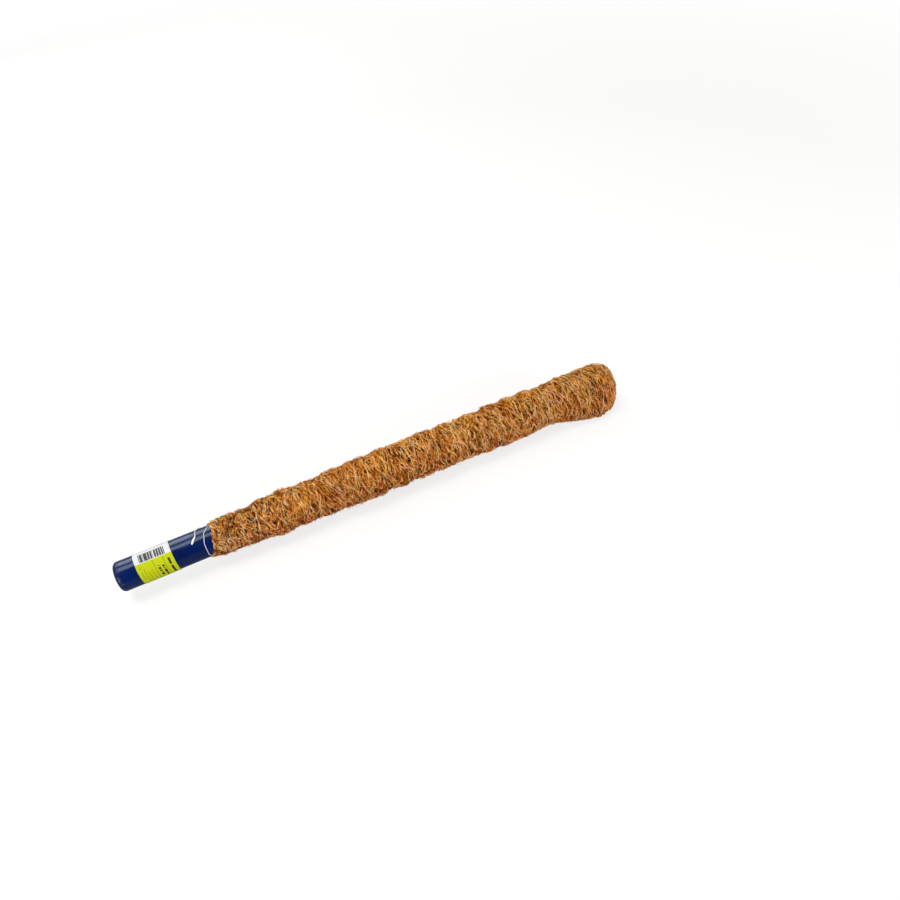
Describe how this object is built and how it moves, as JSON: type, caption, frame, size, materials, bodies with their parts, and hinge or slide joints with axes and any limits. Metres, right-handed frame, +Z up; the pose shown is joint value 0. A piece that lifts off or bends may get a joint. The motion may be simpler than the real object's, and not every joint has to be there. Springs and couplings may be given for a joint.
{
  "type": "moss pole",
  "caption": "Plant support pole: a plastic pipe wrapped in coir fibre that a wound thread binds on, with a bare labelled stub to push into the soil.",
  "frame": {"origin": "middle of the pole's length, on the surface that it lies on", "axes": "+X along the pole from the bare stub to the coir end, +Z up from the surface, +Y across"},
  "size_m": [0.6, 0.0662, 0.0505],
  "materials": {
    "pipe": "extruded navy PVC, glossy with faint draw lines",
    "plug": "moulded navy polyethylene, satin",
    "label": "coated paper sticker, lime yellow panel and white strip",
    "coir": "loose golden brown coir fibre, wound round the pole",
    "thread": "clear to whitish nylon thread"
  },
  "bodies": {
    "root": {"core_pipe": "pipe", "end_plug": "plug", "pipe_label": "label", "coir_sleeve": "coir", "coir_end_wad": "coir", "binding_thread": "thread"}
  },
  "joints": []
}
